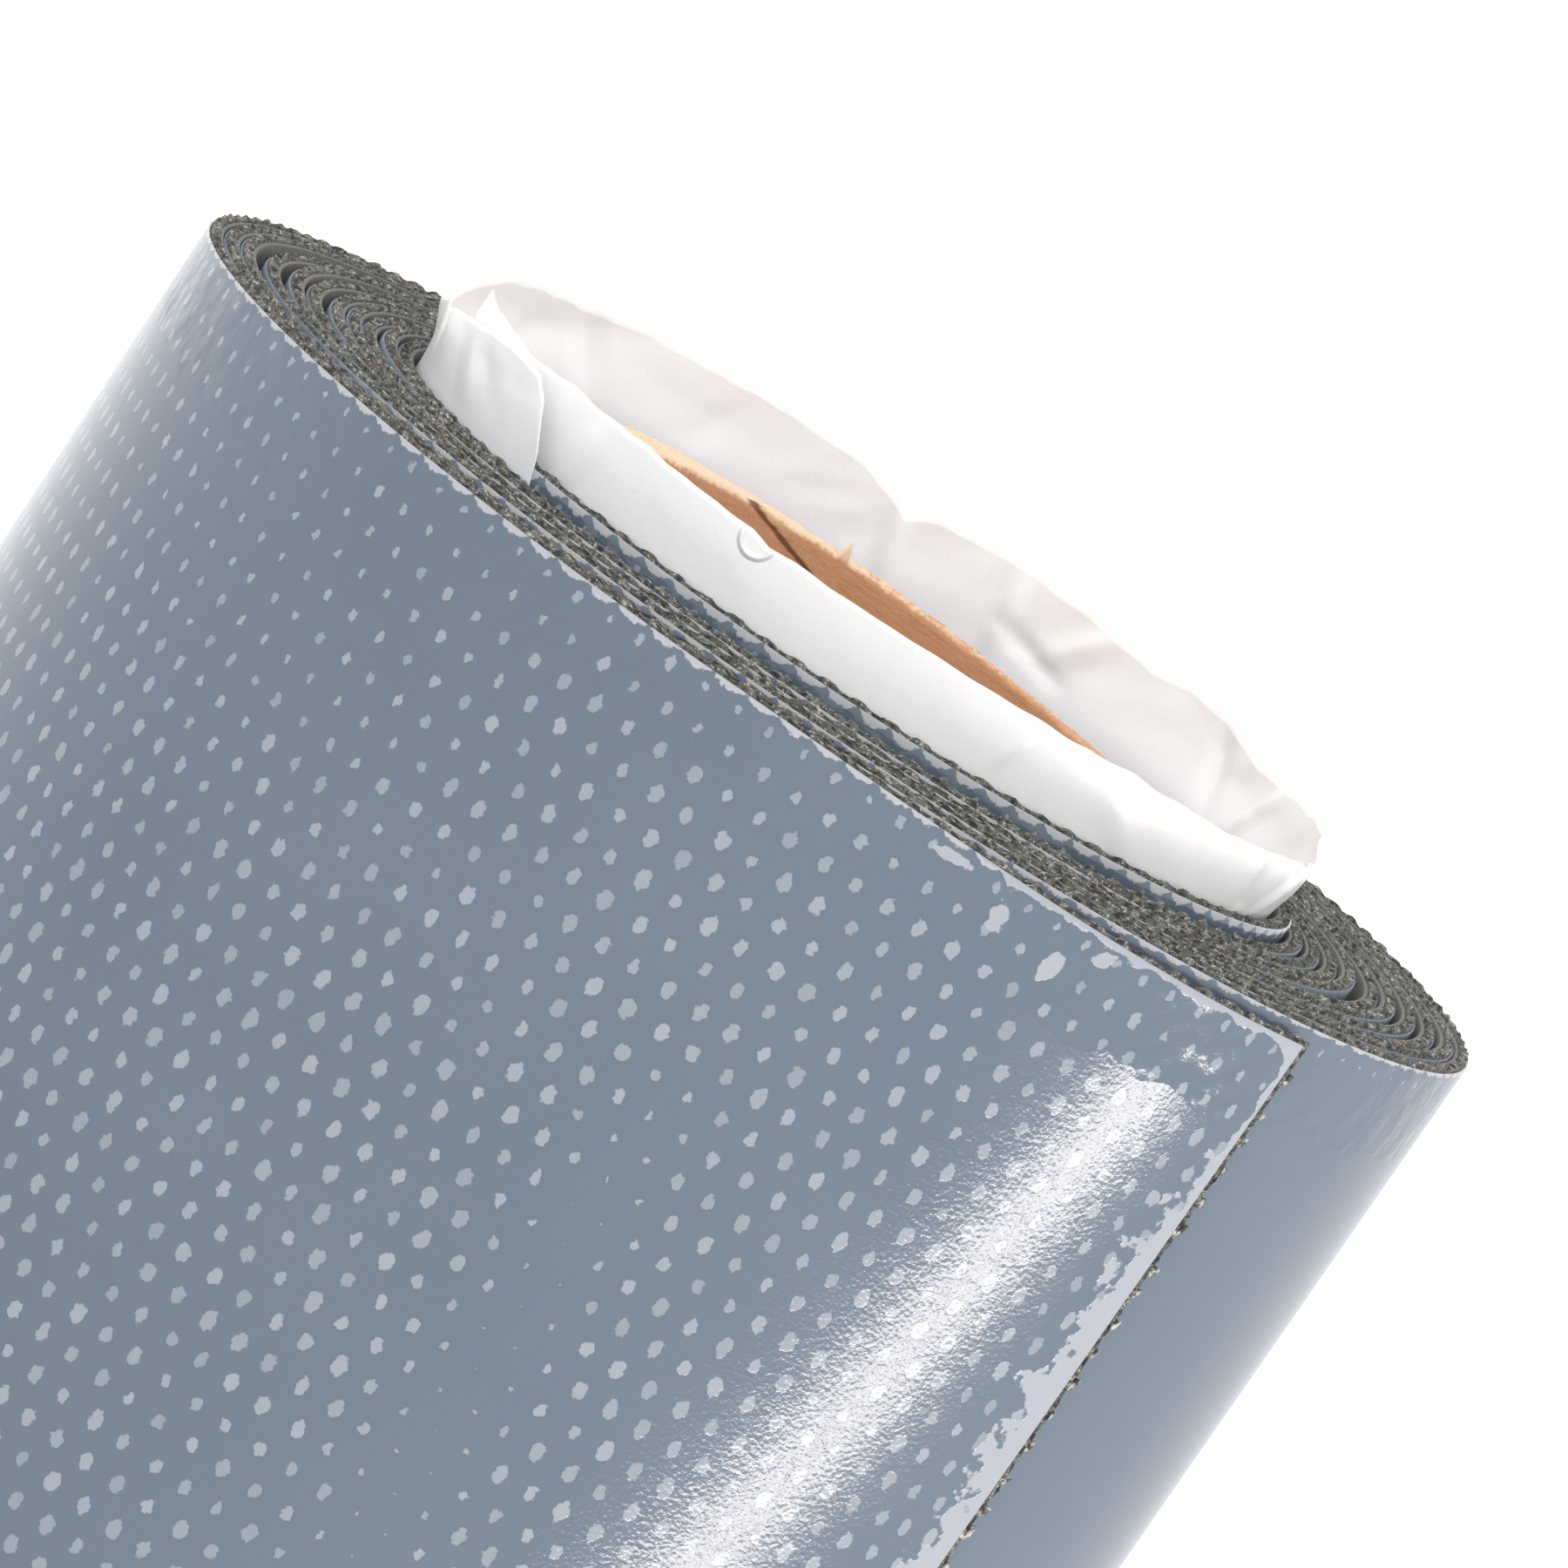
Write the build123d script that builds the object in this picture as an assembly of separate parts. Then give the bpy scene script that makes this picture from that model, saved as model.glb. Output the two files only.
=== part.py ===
"""A film-faced woven backdrop sheet wound on a board core, standing on its end.

The sheet winds anticlockwise outwards, seen from above. Angles are counted along the winding in
degrees from +X, so they pass 360 with every lap. A wound path is a chain of half turns: each is
an arc about a centre on the X axis, and meets the next one tangentially.
"""
import os
from math import ceil, degrees, floor

from build123d import *

# Core: a tube of board plies, cut longer than the sheet is wide
core_bore_diameter = 50.8
core_wall = 4.6
core_ply_count = 6
core_proud = 3.2

# Sheet: a woven ply with a smooth coat on its inner face and a film on its outer face
sheet_width = 660.0
coat_thickness = 0.45
weave_thickness = 0.8
film_thickness = 0.25
wind_slack = 0.4

# Winding: the eye is the inside of the first lap, at the sheet's inner end
eye_radius = 42.4
inner_end_angle = 227.0
lap_turns = 11.25

# Leader: film alone, which runs in loose turns from the core to the sheet's inner end
leader_turns = 3
leader_below_sheet = 2.0
leader_on_core_angle = 60.0
collar_proud = 8.5
splice_gap = 0.3

# Tape that holds the leader's first edge on the core, half on the board and half on the film
tape_width = 25.0
tape_thickness = 0.15
tape_step = 0.4

# Tail: the sheet's free end, which lifts off the roll, with a strip of film loose at its edge
tail_arc_angle = 57.0
tail_top_drop = 1.2
tail_floor_clear = 0.8
tail_root_gap = 0.2
peel_width = 18.0
peel_standoff = 0.3
peel_root_gap = 0.2

# Sizes that follow
core_bore_radius = core_bore_diameter / 2
core_radius = core_bore_radius + core_wall
core_length = sheet_width + core_proud
backing_thickness = coat_thickness + weave_thickness
sheet_thickness = backing_thickness + film_thickness
pitch = sheet_thickness + wind_slack
outer_end_angle = inner_end_angle + 360 * lap_turns
roll_radius = eye_radius + sheet_thickness + pitch / 2 * (floor(outer_end_angle / 180) - 1)
tail_root_angle = outer_end_angle - tail_arc_angle
peel_root_angle = outer_end_angle - degrees(peel_width / roll_radius)
collar_start_angle = -180.0
leader_start_angle = collar_start_angle - 360 * leader_turns + 180 - leader_on_core_angle


def sheet_path(half_turn):
    """Centre and radius of a half turn of the sheet's inner face."""
    centre = -pitch / 4 if half_turn % 2 == 0 else pitch / 4
    radius = eye_radius + pitch / 2 * (half_turn - 1)
    return centre, radius


def collar_path(half_turn):
    """The collar goes on inwards from the sheet's face film."""
    centre, radius = sheet_path(half_turn)
    return centre, radius + backing_thickness


def leader_path(half_turn):
    """The leader's first half turn lies on the core, and its last one meets the collar."""
    collar_centre, collar_radius = collar_path(-1)
    rise = collar_radius - core_radius
    step_at_right = (rise - collar_centre) / (2 * leader_turns)
    step_at_left = (rise + collar_centre) / (2 * leader_turns)
    steps = half_turn + 1 + 2 * leader_turns
    out_at_right = step_at_right * ((steps + 1) // 2)
    out_at_left = step_at_left * (steps // 2)
    return out_at_left - out_at_right, core_radius + out_at_right + out_at_left


def core_path(half_turn):
    """The core's own round surface."""
    return 0.0, core_radius


def band(path, first_angle, last_angle, inside, outside):
    """The face between two offsets of a wound path."""
    edges = []
    for half_turn in range(floor(first_angle / 180), ceil(last_angle / 180)):
        centre, radius = path(half_turn)
        start = max(first_angle, 180 * half_turn)
        sweep = min(last_angle, 180 * (half_turn + 1)) - start
        edges.append(CenterArc((centre, 0), radius + inside, start % 360, sweep))
        edges.append(CenterArc((centre, 0), radius + outside, start % 360, sweep))
    edges.append(Line(edges[0] @ 0, edges[1] @ 0))
    edges.append(Line(edges[-3] @ 1, edges[-2] @ 1))
    return make_face(edges)


def upright(face, bottom, top):
    """A face in plan, raised into a wall."""
    return extrude(Pos(0, 0, bottom) * face, amount=top - bottom)


def core_ply(index):
    """One ply of the core, from the bore outwards."""
    thickness = core_wall / core_ply_count
    inside = core_bore_radius + index * thickness
    face = Circle(inside + thickness) - Circle(inside)
    return upright(face, 0, core_length)


def start_tape():
    """Tape that steps up from the core onto the leader's first edge."""
    half_angle = degrees(tape_width / 2 / core_radius)
    step_angle = degrees(tape_step / core_radius)
    edge = leader_start_angle
    on_film = film_thickness + tape_thickness
    face = band(core_path, edge - half_angle, edge, 0, tape_thickness)
    face += band(core_path, edge - step_angle, edge, 0, on_film)
    face += band(core_path, edge - step_angle, edge + half_angle, film_thickness, on_film)
    return upright(face, 0, sheet_width - leader_below_sheet)


def leader_film():
    """Loose turns of film between the core and the collar."""
    face = band(leader_path, leader_start_angle, collar_start_angle, 0, film_thickness)
    return upright(face, 0, sheet_width - leader_below_sheet)


def leader_collar():
    """The leader's last turn, which stands out of the roll round the core."""
    last_angle = inner_end_angle - degrees(splice_gap / eye_radius)
    face = band(collar_path, collar_start_angle, last_angle, 0, film_thickness)
    return upright(face, 0, sheet_width + collar_proud)


def wound_layer(inside, outside):
    """A layer of the sheet from its inner end to the tail's root."""
    return upright(band(sheet_path, inner_end_angle, tail_root_angle, inside, outside), 0, sheet_width)


def tail_layer(last_angle, inside, outside):
    """A layer of the tail, from its root to the given angle."""
    first_angle = tail_root_angle + degrees(tail_root_gap / roll_radius)
    face = band(sheet_path, first_angle, last_angle, inside, outside)
    return upright(face, tail_floor_clear, sheet_width - tail_top_drop)


def peel_film():
    """The strip of film along the free edge, which stands a little off the weave."""
    first_angle = peel_root_angle + degrees(peel_root_gap / roll_radius)
    inside = backing_thickness + peel_standoff
    face = band(sheet_path, first_angle, outer_end_angle, inside, inside + film_thickness)
    return upright(face, tail_floor_clear, sheet_width - tail_top_drop)


parts = {f"core_ply_{index + 1}": core_ply(index) for index in range(core_ply_count)}
parts["start_tape"] = start_tape()
parts["leader_film"] = leader_film()
parts["leader_collar"] = leader_collar()
parts["backing_coat"] = wound_layer(0, coat_thickness)
parts["woven_ply"] = wound_layer(coat_thickness, backing_thickness)
parts["face_film"] = wound_layer(backing_thickness, sheet_thickness)
parts["tail_backing_coat"] = tail_layer(outer_end_angle, 0, coat_thickness)
parts["tail_woven_ply"] = tail_layer(outer_end_angle, coat_thickness, backing_thickness)
parts["tail_face_film"] = tail_layer(peel_root_angle, backing_thickness, sheet_thickness)
parts["peel_film"] = peel_film()

os.makedirs("parts", exist_ok=True)
for name, part in parts.items():
    export_step(part, f"parts/{name}.step")

# The two hinges, which the record repeats: each lies on the outer face, at its root
for name, angle, offset in (
    ("tail_lift", tail_root_angle, sheet_thickness),
    ("film_peel", peel_root_angle, sheet_thickness + peel_standoff),
):
    centre, radius = sheet_path(floor(angle / 180))
    hinge = CenterArc((centre, 0), radius + offset, angle % 360, 1) @ 0
    print(f"{name} hinge at x {hinge.X:.3f}, y {hinge.Y:.3f} mm")
print(f"roll radius {roll_radius:.2f} mm, pitch {pitch:.2f} mm")
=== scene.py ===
# %% [markdown]
# # A film-faced backdrop sheet, rolled on a board core
# The roll stands on its end. A coarse dark weave has a smooth coat on its inner face and a milky
# glossy film on its outer face. The film wets the weave and looks blue-grey, and shows pale where
# air is trapped under it. At the upper end the film's leader stands out as a white collar round a
# brown board core. The outer end of the sheet lies free on the roll.
#
# Everything here is in metres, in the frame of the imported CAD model.

# %% Load the frame
import math

import bmesh
import bpy
import numpy as np
from mathutils import Matrix, Vector, noise


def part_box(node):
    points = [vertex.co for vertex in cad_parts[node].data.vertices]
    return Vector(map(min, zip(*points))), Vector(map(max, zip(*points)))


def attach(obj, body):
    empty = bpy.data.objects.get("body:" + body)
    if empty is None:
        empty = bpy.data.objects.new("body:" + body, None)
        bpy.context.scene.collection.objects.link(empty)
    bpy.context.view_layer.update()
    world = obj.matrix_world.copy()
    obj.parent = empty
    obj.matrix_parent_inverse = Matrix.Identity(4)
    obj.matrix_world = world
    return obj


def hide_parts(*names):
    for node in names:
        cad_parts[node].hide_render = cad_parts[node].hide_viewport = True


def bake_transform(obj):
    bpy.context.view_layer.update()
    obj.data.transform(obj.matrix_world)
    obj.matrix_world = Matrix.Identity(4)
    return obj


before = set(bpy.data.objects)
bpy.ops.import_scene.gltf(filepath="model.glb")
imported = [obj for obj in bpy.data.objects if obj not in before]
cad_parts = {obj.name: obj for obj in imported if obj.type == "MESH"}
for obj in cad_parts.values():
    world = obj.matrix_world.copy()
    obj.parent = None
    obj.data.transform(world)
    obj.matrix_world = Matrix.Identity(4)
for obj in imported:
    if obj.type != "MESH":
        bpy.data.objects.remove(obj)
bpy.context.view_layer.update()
MM = 0.001
TURN = 2 * math.pi

# %% [markdown]
# ## The roll's own sizes
# The CAD boxes give the heights and the outer radius. The thicknesses and the lap count are the
# sheet's driving sizes. Angles run along the winding, anticlockwise seen from above, and pass a
# full turn with every lap.

# %% Sizes
sheet_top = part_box("woven_ply")[1][2]
roll_radius = -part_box("face_film")[0][1]
core_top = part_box("core_ply_1")[1][2]
core_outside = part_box("core_ply_6")[1][0]
first_ply_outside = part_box("core_ply_1")[1][0]
core_bore = first_ply_outside - (core_outside - first_ply_outside) / 5
tail_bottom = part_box("tail_woven_ply")[0][2]
coat = 0.45 * MM
weave = 0.8 * MM
film = 0.25 * MM
backing = coat + weave
sheet_thickness = backing + film
slack = 0.4 * MM
lap_pitch = sheet_thickness + slack
eye_radius = 42.4 * MM
inner_end = math.radians(227)
laps = 11.25
outer_end = inner_end + laps * TURN
tail_root = outer_end - math.radians(57)
yarn_pitch = 3.05 * MM
row_pitch = 3.0 * MM
film_top = sheet_top - 0.14 * MM
print("sheet top", round(sheet_top, 4), "roll radius", round(roll_radius, 4), "bore", round(core_bore, 4))

# %% [markdown]
# ## How the laps lie
# A roll that has been handled isn't a perfect spiral. Its laps press together at the front and
# back, and open in crescent gaps at the two sides. Each gap below is a share of the even slack,
# from the innermost lap outwards, and each list adds up to the number of gaps, so the outside
# stays round. A table of radius against angle is made once, and every layer is wound with it.

# %% Spiral table
left_gaps = (0.5, 0.9, 0.3, 0.3, 2.0, 0.8, 2.2, 2.6, 0.2, 0.2)
right_gaps = (0.9, 0.9, 0.9, 0.5, 2.6, 0.3, 1.5, 1.3, 0.9, 0.2)
gap_half_width = math.radians(42)


def side_share(angle, side):
    """1 where the angle points to the side, falling to 0 at the half width, with the lap's number."""
    number = round((angle - side) / TURN)
    off = abs(angle - side - number * TURN)
    share = math.cos(off / gap_half_width * math.pi / 2) ** 2 if off < gap_half_width else 0.0
    return share, number


def gap_under(angle):
    """Air between the lap at this angle and the one inside it."""
    for side, gaps in ((math.pi, left_gaps), (0.0, right_gaps)):
        share, number = side_share(angle, side)
        if share:
            return slack * (1 + share * (gaps[min(max(number - 2, 0), len(gaps) - 1)] - 1))
    return slack


steps_per_lap = 720
table_angle = np.linspace(inner_end, outer_end, int(steps_per_lap * laps) + 1)
table_radius = np.empty_like(table_angle)
for i, angle in enumerate(table_angle):
    if i < steps_per_lap:
        table_radius[i] = eye_radius + lap_pitch * i / steps_per_lap
    else:
        table_radius[i] = table_radius[i - steps_per_lap] + sheet_thickness + gap_under(angle)
table_length = np.concatenate(
    ([0], np.cumsum(np.diff(table_angle) * (table_radius[1:] + sheet_thickness)))
)
sheet_length = table_length[-1]


def length_at(angle):
    return float(np.interp(angle, table_angle, table_length))


def angle_at(length):
    """The winding angle at a length, which may lie a little past the sheet's end."""
    beyond = max(length - sheet_length, 0)
    return float(np.interp(length, table_length, table_angle)) + beyond / roll_radius


def radius_at(angle):
    return float(np.interp(angle, table_angle, table_radius))


def point_at(angle, radius, height):
    return (radius * math.cos(angle), radius * math.sin(angle), height)


outermost = table_radius[-1] + sheet_thickness
print("sheet length", round(sheet_length, 3), "m; outermost radius", round(outermost, 5))

# %% [markdown]
# ## How high each lap stands
# The cut edges of a hand-wound roll aren't level. The innermost lap stands a little proud, the
# free corner has slipped down, and the laps between wander by a fifth of a millimetre.

# %% Lap heights
proud_lap = 1.3 * MM
corner_drop = 1.2 * MM
lap_wander = 0.16 * MM


def smooth(low, high, value):
    """A smooth step from 0 at low to 1 at high, on numbers or arrays."""
    t = np.clip((value - low) / (high - low), 0, 1)
    return t * t * (3 - 2 * t)


def lap_rise(angle):
    proud = proud_lap * (1 - smooth(TURN - 0.1, TURN + 1.1, angle))
    drop = corner_drop * smooth(outer_end - math.radians(52), outer_end - math.radians(6), angle)
    wander = np.sin(angle * 1.63 + 0.4) + 0.7 * np.sin(angle * 2.41 + 2.0) + 0.5 * np.sin(angle * 0.37)
    inside = smooth(TURN, TURN + 2, angle) * (1 - smooth(outer_end - 1.5 * TURN, outer_end - TURN, angle))
    return proud - drop + lap_wander * wander * inside


# %% [markdown]
# ## Making a layer flat, then winding it
# Each layer starts as it would on a cutting table, as a flat grid: one way along the sheet, the
# other way round the layer's section. The UV map is taken while it is flat, in metres, so a
# pattern follows the weave. Then every point is wound on the spiral. A spiral drawn directly would
# need its pattern fitted afterwards.

# %% Flat layer
def flat_layer(section, start, end, step):
    """section is a closed list of (height, depth); the layer runs from start to end of the length."""
    columns = max(2, round((end - start) / step))
    rows = len(section)
    bm = bmesh.new()
    bmesh.ops.create_grid(bm, x_segments=columns, y_segments=rows, size=1)
    for vert in bm.verts:
        column = round((vert.co.x + 1) / 2 * columns)
        height, depth = section[round((vert.co.y + 1) / 2 * rows) % rows]
        vert.co = (start + (end - start) * column / columns, height, depth)
    bmesh.ops.remove_doubles(bm, verts=bm.verts, dist=1e-7)
    for face in bm.faces:
        face.smooth = True
    ends = [edge for edge in bm.edges if edge.is_boundary]
    bmesh.ops.holes_fill(bm, edges=ends, sides=0)
    for edge in ends:
        edge.smooth = False
    bmesh.ops.recalc_face_normals(bm, faces=bm.faces)
    return bm


def close_ends(bm):
    """Fills the open ends, then turns the faces outwards and smooths them."""
    ends = [edge for edge in bm.edges if edge.is_boundary]
    bmesh.ops.holes_fill(bm, edges=ends, sides=0)
    bmesh.ops.recalc_face_normals(bm, faces=bm.faces)
    for face in bm.faces:
        face.smooth = True


def make_object(name, bm, material):
    mesh = bpy.data.meshes.new(name)
    bm.to_mesh(mesh)
    bm.free()
    mesh.materials.append(material)
    piece = bpy.data.objects.new(name, mesh)
    bpy.context.scene.collection.objects.link(piece)
    return piece


def points_of(mesh):
    flat = np.empty(len(mesh.vertices) * 3)
    mesh.vertices.foreach_get("co", flat)
    return flat.reshape(-1, 3)


def flat_uv(mesh, outer_depth):
    """u is the length and v the height, and v goes on over the cut edges."""
    corner = np.empty(len(mesh.loops), dtype=np.int32)
    mesh.loops.foreach_get("vertex_index", corner)
    x, y, z = points_of(mesh)[corner].T
    uv = np.stack((x, y + outer_depth - z), axis=1).astype(np.float32)
    mesh.uv_layers.new(name="UVMap").data.foreach_set("uv", uv.ravel())


def add_attribute(mesh, name, values):
    attribute = mesh.attributes.new(name, "FLOAT", "POINT")
    attribute.data.foreach_set("value", np.asarray(values, dtype=np.float32))


def wind(mesh, bottom=0.0):
    """Moves flat points (length, height, depth) to their place on the roll."""
    length, height, depth = points_of(mesh).T
    beyond = np.maximum(length - sheet_length, 0)
    angle = np.interp(length, table_length, table_angle) + beyond / roll_radius
    radius = np.interp(angle, table_angle, table_radius) + depth
    top = sheet_top + lap_rise(angle)
    z = bottom + height / sheet_top * (top - bottom)
    wound = np.stack((radius * np.cos(angle), radius * np.sin(angle), z), axis=1)
    mesh.vertices.foreach_set("co", wound.ravel())
    mesh.update()
    return angle, height


# %% [markdown]
# ## Node helpers
# A material is a short chain of nodes. These helpers add one node, and do arithmetic on sockets, so
# that the patterns below read as formulas. Values that are the same all over the surface are
# set straight on the shader's sockets.

# %% Node helpers
def srgb(red, green, blue):
    """A display colour, 0 to 255, as the linear colour that a shader takes."""
    shares = (red / 255, green / 255, blue / 255)
    return tuple(c / 12.92 if c <= 0.04045 else ((c + 0.055) / 1.055) ** 2.4 for c in shares) + (1,)


class Tree:
    """A new material's node tree, with its Principled shader."""

    def __init__(self, name, roughness, **sockets):
        self.material = bpy.data.materials.new(name)
        self.material.use_nodes = True
        self.nodes = self.material.node_tree.nodes
        self.links = self.material.node_tree.links
        self.shader = self.nodes["Principled BSDF"]
        self.shader.inputs["Roughness"].default_value = roughness
        for socket, value in sockets.items():
            self.shader.inputs[socket.replace("_", " ")].default_value = value

    def feed(self, socket, value):
        if isinstance(value, bpy.types.NodeSocket):
            self.links.new(value, socket)
        else:
            socket.default_value = value

    def add(self, kind, inputs=None, **settings):
        node = self.nodes.new(kind)
        for name, value in settings.items():
            setattr(node, name, value)
        for key, value in (inputs or {}).items():
            self.feed(node.inputs[key], value)
        return node

    def math(self, operation, a, b=0.0, c=0.0):
        return self.add("ShaderNodeMath", {0: a, 1: b, 2: c}, operation=operation).outputs[0]

    def noise(self, vector, size, detail=2.0, roughness=0.5):
        """Noise whose lumps are about size metres across."""
        inputs = {"Vector": vector, "Scale": 1 / size, "Detail": detail, "Roughness": roughness}
        return self.add("ShaderNodeTexNoise", inputs).outputs["Fac"]

    def ramp(self, value, low, high):
        """0 below low and 1 above high, smooth between."""
        inputs = {"Value": value, "From Min": low, "From Max": high}
        return self.add("ShaderNodeMapRange", inputs, interpolation_type="SMOOTHSTEP").outputs[0]

    def mix(self, factor, a, b):
        node = self.add("ShaderNodeMix", data_type="RGBA")
        self.feed(node.inputs["Factor"], factor)
        self.feed(node.inputs[6], a)
        self.feed(node.inputs[7], b)
        return node.outputs[2]

    def uv(self):
        return self.add("ShaderNodeUVMap", uv_map="UVMap").outputs[0]

    def place(self):
        return self.add("ShaderNodeTexCoord").outputs["Object"]

    def attribute(self, name):
        return self.add("ShaderNodeAttribute", attribute_name=name).outputs["Fac"]

    def bump(self, height, distance, strength=1.0, normal=None):
        inputs = {"Height": height, "Distance": distance, "Strength": strength}
        node = self.add("ShaderNodeBump", inputs)
        if normal is not None:
            self.links.new(normal, node.inputs["Normal"])
        self.links.new(node.outputs[0], self.shader.inputs["Normal"])
        return node.outputs[0]

    def color(self, value):
        self.feed(self.shader.inputs["Base Color"], value)


# %% [markdown]
# ## The face film
# The film is a thin milky sheet pressed on a woven surface. Where it touches, the dark weave shows
# through it as blue-grey. It misses the weave in small hollows between yarns, which sit in a
# staggered lattice, along the cut edge, where it makes a scalloped white band, and in patches near
# the free edge. The knife has pinched the last few millimetres inwards, so a highlight stops there.
# The lattice is drawn in the UV map: rows and columns are counted, every second row is moved half a
# step, and an oval is drawn in each cell with its own random size. Four attributes on the mesh say
# how many hollows show, how wide and how clear the edge band is, and where the film has let go.

# %% Hollows
hollow_half_width = 0.6 * MM
hollow_half_height = 0.84 * MM


def hollow_dots(t, u, v, ragged, ragged_along):
    """The staggered dots: 1 in a hollow and 0 outside, with ragged outlines."""
    row_place = t.math("DIVIDE", v, row_pitch)
    row = t.math("FLOOR", row_place)
    shift = t.math("MULTIPLY", t.math("MODULO", row, 2.0), 0.5)
    column_place = t.math("ADD", t.math("DIVIDE", u, yarn_pitch), shift)
    column = t.math("FLOOR", column_place)
    cell = t.add("ShaderNodeCombineXYZ", {0: column, 1: row}).outputs[0]
    chance = t.add("ShaderNodeTexWhiteNoise", {"Vector": cell})
    chances = t.add("ShaderNodeSeparateColor", {0: chance.outputs["Color"]})
    off_place = t.math("SUBTRACT", chances.outputs[0], 0.5)
    across = t.math("SUBTRACT", t.math("SUBTRACT", column_place, column), 0.5)
    across = t.math("ADD", across, t.math("MULTIPLY", ragged, 0.26))
    across = t.math("ADD", across, t.math("MULTIPLY", off_place, 0.12))
    along = t.math("SUBTRACT", t.math("SUBTRACT", row_place, row), 0.5)
    along = t.math("ADD", along, t.math("MULTIPLY", ragged_along, 0.34))
    wide = t.math("POWER", t.math("MULTIPLY", across, yarn_pitch / hollow_half_width), 2.0)
    tall = t.math("POWER", t.math("MULTIPLY", along, row_pitch / hollow_half_height), 2.0)
    reach = t.math("SQRT", t.math("ADD", wide, tall))
    own_size = t.math("MULTIPLY_ADD", chances.outputs[1], 0.42, 0.74)
    size = t.math("MULTIPLY", t.attribute("hollows"), own_size)
    dots = t.ramp(t.math("SUBTRACT", size, reach), -0.07, 0.1)
    clear = t.math("MULTIPLY_ADD", chances.outputs[2], 0.35, 0.65)
    return t.math("MULTIPLY", dots, clear)


# %% Edge band
scallop_depth = 0.74 * MM
scallop_lift = 0.02 * MM


def edge_scallops(t, u, below, ragged):
    """The pale band along the cut edge, deepest halfway between two yarns."""
    tooth = t.math("PINGPONG", t.math("DIVIDE", u, yarn_pitch), 0.5)
    scallop = t.math("SINE", t.math("MULTIPLY", tooth, math.pi))
    depth = t.math("MULTIPLY_ADD", scallop, scallop_depth, -scallop_lift)
    depth = t.math("MULTIPLY", depth, t.attribute("edge_band"))
    depth = t.math("ADD", depth, t.math("MULTIPLY", ragged, 0.9 * MM))
    edge = t.ramp(t.math("SUBTRACT", depth, below), -0.1 * MM, 0.06 * MM)
    return t.math("MULTIPLY", edge, t.attribute("edge_seen"))


# %% [markdown]
# ## The film's relief
# A highlight shows how a film really lies. This one has a fine leathery grain, from small cells and
# noise, and broad shallow puckers. It bulges where it has let go, and slopes in at the cut edge.
# All of it is far too small for the mesh, so it is a bump.

# %% Film relief
grain_height = 0.0125 * MM
grain_cell = 0.5 * MM
pinch_width = 8.5 * MM
pinch_slope = 0.085


def film_relief(t, uv, air, patches, below):
    cells = t.add("ShaderNodeTexVoronoi", {"Vector": uv, "Scale": 1 / grain_cell})
    grain = t.math("MULTIPLY_ADD", cells.outputs["Distance"], 0.5, t.noise(uv, 0.36 * MM, 1))
    puckers = t.noise(uv, 2.4 * MM, 2)
    bulges = t.math("MULTIPLY", patches, t.noise(uv, 1.8 * MM, 1))
    relief = t.math("ADD", puckers, grain)
    relief = t.math("MULTIPLY_ADD", air, 0.3, relief)
    relief = t.math("MULTIPLY_ADD", bulges, 2.0, relief)
    uneven = t.math("MULTIPLY", t.math("SUBTRACT", t.noise(uv, 5 * MM, 2), 0.5), 4.5 * MM)
    to_edge = t.math("MINIMUM", t.math("ADD", below, uneven), pinch_width)
    relief = t.math("MULTIPLY_ADD", to_edge, pinch_slope / grain_height, relief)
    t.bump(relief, grain_height)


# %% [markdown]
# ## The film's colours
# Wetted film is blue-grey with faint clouds, and film over air is pale. The film is glossy, but on
# the laps inside the roll its edge is rubbed dull, so that attribute also sets the roughness.

# %% Film material
def film_material():
    t = Tree("face_film", 0.12)
    uv = t.uv()
    split = t.add("ShaderNodeSeparateXYZ", {0: uv})
    u, v = split.outputs[0], split.outputs[1]
    ragged = t.math("SUBTRACT", t.noise(uv, 0.55 * MM, 3), 0.5)
    ragged_along = t.math("SUBTRACT", t.noise(uv, 0.8 * MM, 2), 0.5)
    below = t.math("ABSOLUTE", t.math("SUBTRACT", film_top, v))
    dots = hollow_dots(t, u, v, ragged, ragged_along)
    edge = edge_scallops(t, u, below, ragged)
    blotches = t.math("MULTIPLY", t.noise(uv, 3.0 * MM, 3, 0.6), 0.9)
    patches = t.ramp(t.math("ADD", t.attribute("let_go"), blotches), 0.98, 1.02)
    air = t.math("MAXIMUM", t.math("MAXIMUM", dots, patches), edge)
    cloudy = t.noise(uv, 24 * MM, 3)
    wetted = t.mix(cloudy, srgb(85, 99, 114), srgb(95, 108, 122))
    specks = t.ramp(t.noise(uv, 0.3 * MM, 2), 0.62, 0.8)
    wetted = t.mix(t.math("MULTIPLY", specks, 0.12), wetted, srgb(150, 160, 170))
    pale = t.mix(edge, srgb(143, 150, 159), srgb(169, 171, 176))
    pale = t.mix(patches, pale, srgb(154, 158, 167))
    t.color(t.mix(air, wetted, pale))
    film_relief(t, uv, air, patches, below)
    dull = t.math("MULTIPLY_ADD", t.attribute("edge_seen"), -0.6, 0.72)
    t.feed(t.shader.inputs["Roughness"], dull)
    return t.material


face_film_look = film_material()
print("material", face_film_look.name)
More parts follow.
